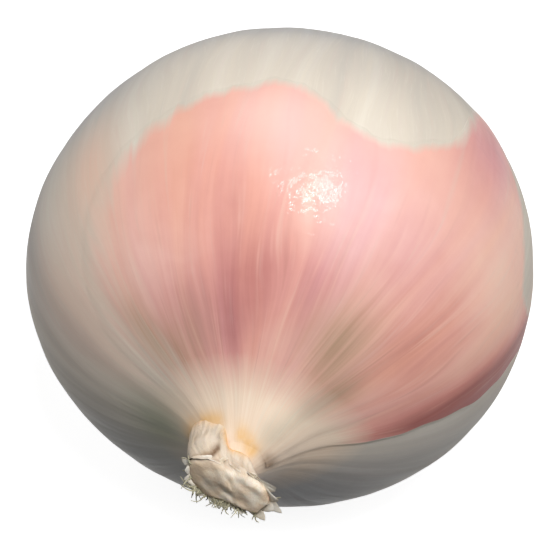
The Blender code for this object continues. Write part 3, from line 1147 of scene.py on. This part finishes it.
def curl_path(start, direction, length, draw, wander):
    """A path that sets off in a direction and wanders from it more and more."""
    direction = direction / np.linalg.norm(direction)
    side = np.cross(direction, [0.2, 0.5, 0.84])
    side /= np.linalg.norm(side)
    other = np.cross(direction, side)
    share = np.linspace(0, 1, CURL_POINTS)[:, None]
    phase, phase_other = draw.uniform(0, 6.3), draw.uniform(0, 6.3)
    sway = np.sin(3 * share + phase) - math.sin(phase)
    sway_other = np.sin(2.4 * share + phase_other) - math.sin(phase_other)
    aside = side * sway + other * sway_other
    return start + direction * length * share + wander * length * share * aside


def make_fibres():
    """Fine torn fibres round the neck's end, most of them underneath."""
    draw = random.Random(8)
    parts = Parts()
    for _ in range(FIBRE_COUNT):
        angle = math.radians(draw.gauss(FIBRE_ANGLE, FIBRE_ANGLE_SPREAD))
        radius = draw.uniform(*FIBRE_FOOT_RADII)
        height = draw.uniform(*FIBRE_FOOT_HEIGHTS)
        start = neck_place(angle, radius, height)
        outward = neck_place(angle, radius + FIBRE_WAY[0], height + FIBRE_WAY[1]) - start
        length = draw.uniform(*FIBRE_LENGTHS)
        path = curl_path(start, outward, length, draw, FIBRE_CURL)
        radii = FIBRE_RADIUS * draw.uniform(0.7, 1.3) * np.linspace(1, 0.3, len(path))
        parts.add_tube(path, radii, FIBRE_SIDES)
    material = paper_material("fibres", (196, 190, 162), (108, 104, 82))
    return add_object("neck_fibres", parts.mesh("neck_fibres"), material)


def root_place(angle, radius, height):
    """A point on or above the root end, with height counted away from the bulb."""
    return place(angle, radius, -(ROOT_SIDE - ROOT_DIMPLE + height))


def make_plate():
    """The knobbly, corky plate that the roots grew from."""
    angle, radius, height = turned_grid(PLATE_PROFILE, PLATE_ROWS, PLATE_SEGMENTS, -1)
    uneven = 0.06 * np.cos(5 * angle + 1) + 0.04 * np.cos(9 * angle) + 0.03 * np.cos(17 * angle + 2)
    radius = radius * (1 + uneven)
    across, up = radius * np.sin(angle), radius * np.cos(angle)
    knobs = np.sin(2900 * across + 1) * np.sin(2700 * up + 2) + 0.6 * np.sin(5200 * across + 2500 * up)
    height = height + KNOB_HEIGHT * knobs * np.clip(radius / KNOB_LEAST_RADIUS, 0, 1)
    parts = Parts()
    parts.add_turned(root_place(angle, radius, height))
    return add_object("root_plate_cork", parts.mesh("root_plate_cork"), plate_material())


def make_roots():
    """A tuft of dried roots, curled and trimmed short."""
    draw = random.Random(12)
    parts = Parts()
    for index in range(ROOT_COUNT):
        share = (index + 0.5) / ROOT_COUNT
        angle = index * SPIRAL_TURN
        radius = TUFT_RADIUS * math.sqrt(share)
        start = root_place(angle, radius, TUFT_EDGE_HEIGHT + TUFT_SWELL * (1 - share))
        spread = 0.35 + 1.3 * share + draw.uniform(-0.3, 0.3)
        side = draw.uniform(-0.6, 0.6)
        outward = np.array([math.sin(angle + side) * spread, 1.0, math.cos(angle + side) * spread])
        length = draw.uniform(*ROOT_LENGTHS) * (1 - 0.25 * share)
        path = curl_path(start, outward, length, draw, ROOT_CURL)
        path[:, 1] = np.minimum(path[:, 1], ROOT_TRIM)
        radii = ROOT_RADIUS * draw.uniform(0.6, 1.2) * np.linspace(1, 0.45, len(path))
        parts.add_tube(path, radii, ROOT_SIDES)
    material = paper_material("dried_roots", (226, 206, 170), (166, 138, 102))
    return add_object("dried_roots", parts.mesh("dried_roots"), material)


def glowing_material(name, colour, glow):
    """A matt surface that also glows white."""
    finish = Finish(name)
    finish.shade(Base_Color=colour, Roughness=1.0, Emission_Color=WHITE, Emission_Strength=glow)
    return finish.material


def make_floor():
    """The white floor that the camera sees, with the onion's soft shadow on it."""
    bpy.ops.mesh.primitive_plane_add(size=FLOOR_SIZE)
    floor = bpy.context.object
    floor.name = "floor"
    floor.data.materials.append(glowing_material("floor", FLOOR_GREY, FLOOR_GLOW))
    floor.visible_diffuse = False
    floor.visible_glossy = False


def make_reflected_floor():
    """A floor just below the other, which only the onion's gloss shows."""
    bpy.ops.mesh.primitive_plane_add(size=FLOOR_SIZE, location=(0, 0, -REFLECTED_FLOOR_DROP))
    floor = bpy.context.object
    floor.name = "reflected_floor"
    floor.data.materials.append(glowing_material("reflected_floor", BLACK, REFLECTED_FLOOR_GLOW))
    floor.visible_camera = False
    floor.visible_diffuse = False
    floor.visible_shadow = False


def make_backdrop():
    """A white dome round the floor, which only the camera sees."""
    bpy.ops.mesh.primitive_uv_sphere_add(radius=BACKDROP_RADIUS)
    dome = bpy.context.object
    dome.name = "backdrop"
    dome.data.materials.append(glowing_material("backdrop", BLACK, BACKDROP_GLOW))
    dome.visible_diffuse = False
    dome.visible_glossy = False
    dome.visible_transmission = False
    dome.visible_shadow = False


def direction(azimuth, elevation):
    """The way from the onion towards a viewer or a light at these angles, in degrees."""
    across, up = math.radians(azimuth), math.radians(elevation)
    return Vector((math.sin(across) * math.cos(up), -math.cos(across) * math.cos(up), math.sin(up)))


def make_camera():
    """A camera at the photograph's view."""
    scene = bpy.context.scene
    camera = bpy.data.objects.new("camera", bpy.data.cameras.new("camera"))
    scene.collection.objects.link(camera)
    back = direction(CAMERA_AZIMUTH, CAMERA_ELEVATION)
    camera.location = Vector((0, 0, AXIS_HEIGHT)) + back * CAMERA_DISTANCE
    camera.rotation_mode = "QUATERNION"
    camera.rotation_quaternion = (-back).to_track_quat("-Z", "Y")
    camera.data.lens = CAMERA_LENS
    camera.data.sensor_width = CAMERA_SENSOR
    camera.data.shift_x, camera.data.shift_y = CAMERA_SHIFT
    scene.camera = camera


def make_lamps():
    """Soft lamps round the onion, each turned towards it."""
    centre = Vector((0, 0, AXIS_HEIGHT))
    for name, azimuth, elevation, distance, size, power in LAMPS:
        data = bpy.data.lights.new(name, "AREA")
        data.size = size
        data.energy = power
        lamp = bpy.data.objects.new(name, data)
        towards = direction(azimuth, elevation)
        lamp.location = centre + towards * distance
        lamp.rotation_euler = (-towards).to_track_quat("-Z", "Y").to_euler()
        lamp.visible_camera = False
        bpy.context.scene.collection.objects.link(lamp)


def make_world():
    """A dark world, and colours shown as they are."""
    world = bpy.data.worlds.new("studio")
    world.use_nodes = True
    world.node_tree.nodes["Background"].inputs["Strength"].default_value = 0
    bpy.context.scene.world = world
    bpy.context.scene.view_settings.view_transform = "Standard"


def dress(piece, slot, *nodes):
    """Puts a piece on the onion's one body, in place of the plain solids. The slot argument is not used."""
    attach(piece, "root")
    if nodes:
        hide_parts(*nodes)


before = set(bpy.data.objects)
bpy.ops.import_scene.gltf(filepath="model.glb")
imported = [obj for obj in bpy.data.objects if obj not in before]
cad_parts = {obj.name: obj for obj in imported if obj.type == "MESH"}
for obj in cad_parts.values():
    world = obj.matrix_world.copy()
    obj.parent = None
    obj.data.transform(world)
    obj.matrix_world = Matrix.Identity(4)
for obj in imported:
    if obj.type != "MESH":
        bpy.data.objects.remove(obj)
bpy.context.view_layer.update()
make_camera()
make_lamps()
make_world()
make_floor()
make_reflected_floor()
make_backdrop()
dress(make_bulb(), "bulb", "bulb")
dress(make_skin(), "pink_skin", "pink_skin")
dress(make_neck(), "neck", "neck")
dress(make_teeth(), "neck")
dress(make_fibres(), "neck")
dress(make_plate(), "root_plate", "root_plate")
dress(make_roots(), "root_plate")
